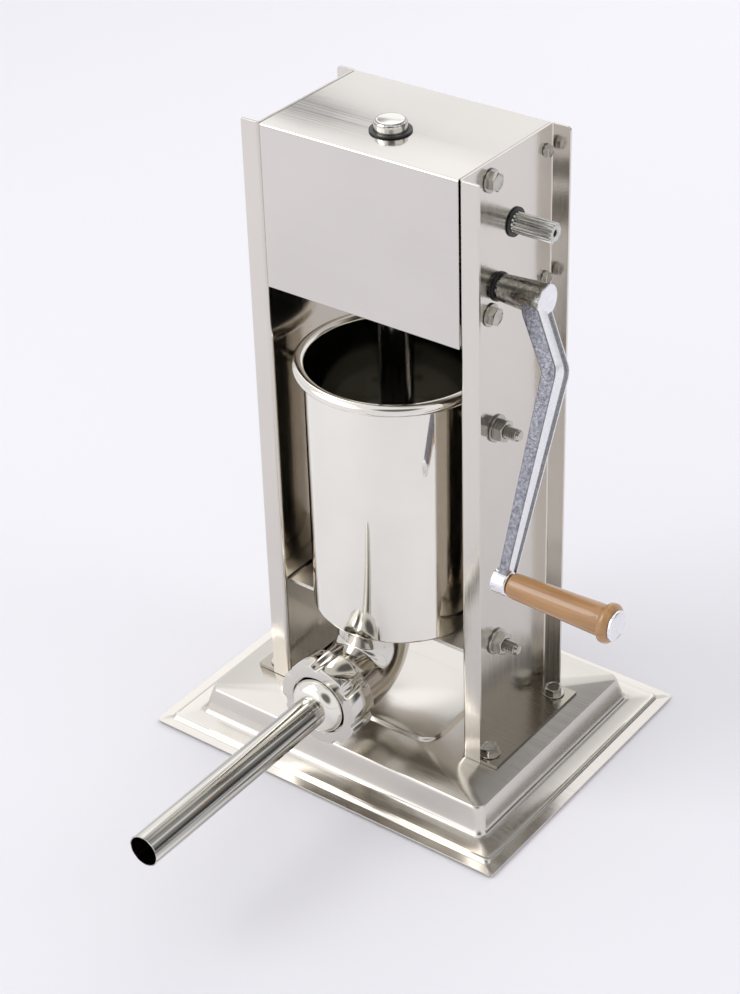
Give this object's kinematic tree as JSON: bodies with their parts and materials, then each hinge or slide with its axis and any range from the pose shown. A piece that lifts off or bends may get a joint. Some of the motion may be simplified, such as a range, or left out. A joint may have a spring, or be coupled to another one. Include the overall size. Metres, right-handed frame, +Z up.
{
  "type": "sausage stuffer",
  "caption": "Upright hand-cranked sausage stuffer: a geared rack pushes a piston down a steel cylinder and out of a straight nozzle at its foot.",
  "frame": {"origin": "bottom centre of the whole object's box, on the surface that the rubber pads stand on", "axes": "+Z up along the rack rod, -Y the way the nozzle points, +X the side that the crank is on"},
  "size_m": [0.4204, 0.474, 0.546],
  "materials": {
    "sheet_steel": "vertically brushed stainless sheet",
    "polished_steel": "mirror-polished stainless steel",
    "machined_steel": "plain machined steel",
    "cast_metal": "plated casting with a smooth outer face",
    "black_plastic": "moulded black plastic",
    "white_plastic": "food-grade white plastic",
    "rubber": "black rubber",
    "grip_wood": "glossy varnished hardwood"
  },
  "bodies": {
    "machine": {"base_plate": "sheet_steel", "pad_left_front": "rubber", "pad_left_rear": "rubber", "pad_right_front": "rubber", "pad_right_rear": "rubber", "side_panel_left": "sheet_steel", "side_panel_right": "sheet_steel", "foot_bolt_left_front": "machined_steel", "foot_bolt_left_rear": "machined_steel", "foot_bolt_right_front": "machined_steel", "foot_bolt_right_rear": "machined_steel", "head_cover": "sheet_steel", "gear_floor": "sheet_steel", "bearing_plate": "machined_steel", "head_bolt_left_upper_front": "machined_steel", "head_bolt_left_lower_front": "machined_steel", "head_bolt_left_upper_rear": "machined_steel", "head_bolt_left_lower_rear": "machined_steel", "head_bolt_right_upper_front": "machined_steel", "head_bolt_right_lower_front": "machined_steel", "head_bolt_right_upper_rear": "machined_steel", "head_bolt_right_lower_rear": "machined_steel", "rod_bush_top": "black_plastic", "rod_bush_floor": "black_plastic", "fast_bush_right": "black_plastic", "fast_bush_left": "black_plastic", "fast_bush_inner": "black_plastic", "slow_bush_right": "black_plastic", "slow_bush_inner": "black_plastic", "cylinder": "polished_steel", "cylinder_cradle": "sheet_steel", "pin_left": "machined_steel", "pin_right": "machined_steel", "stud_left": "machined_steel", "stud_right": "machined_steel", "pin_nut_left": "machined_steel", "pin_nut_right": "machined_steel", "stud_nut_left": "machined_steel", "stud_nut_right": "machined_steel", "outlet_elbow": "polished_steel"},
    "rack": {"rack_rod": "machined_steel", "piston_disc": "white_plastic", "piston_gasket": "rubber", "piston_nut": "machined_steel"},
    "valve": {"release_valve": "white_plastic"},
    "fast_drive": {"fast_shaft": "machined_steel", "rack_pinion": "machined_steel", "large_gear": "machined_steel"},
    "slow_drive": {"slow_shaft": "machined_steel"},
    "crank": {"crank_arm": "cast_metal", "grip_axle": "polished_steel"},
    "grip": {"crank_grip": "grip_wood"},
    "nozzle_tube": {"nozzle": "polished_steel", "nozzle_gasket": "rubber"},
    "nut": {"ring_nut": "polished_steel"}
  },
  "joints": [
    {"name": "crank_turn", "type": "hinge", "parent": "machine", "child": "slow_drive", "pos_m": [0.0598, 0.09094, 0.43439], "axis": [1, 0, 0], "range_deg": [0, 2520]},
    {"name": "fast_shaft_turn", "type": "hinge", "parent": "machine", "child": "fast_drive", "pos_m": [0.0598, 0.111, 0.478], "axis": [1, 0, 0], "range_deg": [-840, 0]},
    {"name": "rack_slide", "type": "slide", "parent": "machine", "child": "rack", "axis": [0, 0, 1], "range_m": [0, 0.2346]},
    {"name": "valve_lift", "type": "slide", "parent": "rack", "child": "valve", "axis": [0, 0, 1], "range_m": [0, 0.003]},
    {"name": "crank_pull", "type": "slide", "parent": "slow_drive", "child": "crank", "axis": [1, 0, 0], "range_m": [0, 0.03]},
    {"name": "grip_spin", "type": "hinge", "parent": "crank", "child": "grip", "pos_m": [0.1598, 0.00431, 0.2486], "axis": [1, 0, 0], "continuous": true},
    {"name": "nozzle_slide", "type": "slide", "parent": "machine", "child": "nozzle_tube", "axis": [0, -1, 0], "range_m": [0, 0.015]},
    {"name": "nut_turn", "type": "hinge", "parent": "nozzle_tube", "child": "nut", "pos_m": [-0.0402, -0.03, 0.088], "axis": [0, -1, 0], "range_deg": [0, 1800]}
  ],
  "couplings": [
    {"joint": "fast_shaft_turn", "follows": "crank_turn", "ratio": -0.33333},
    {"joint": "rack_slide", "follows": "crank_turn", "m_per_rad": 0.0053333},
    {"joint": "nozzle_slide", "follows": "nut_turn", "m_per_rad": 0.00047746}
  ]
}
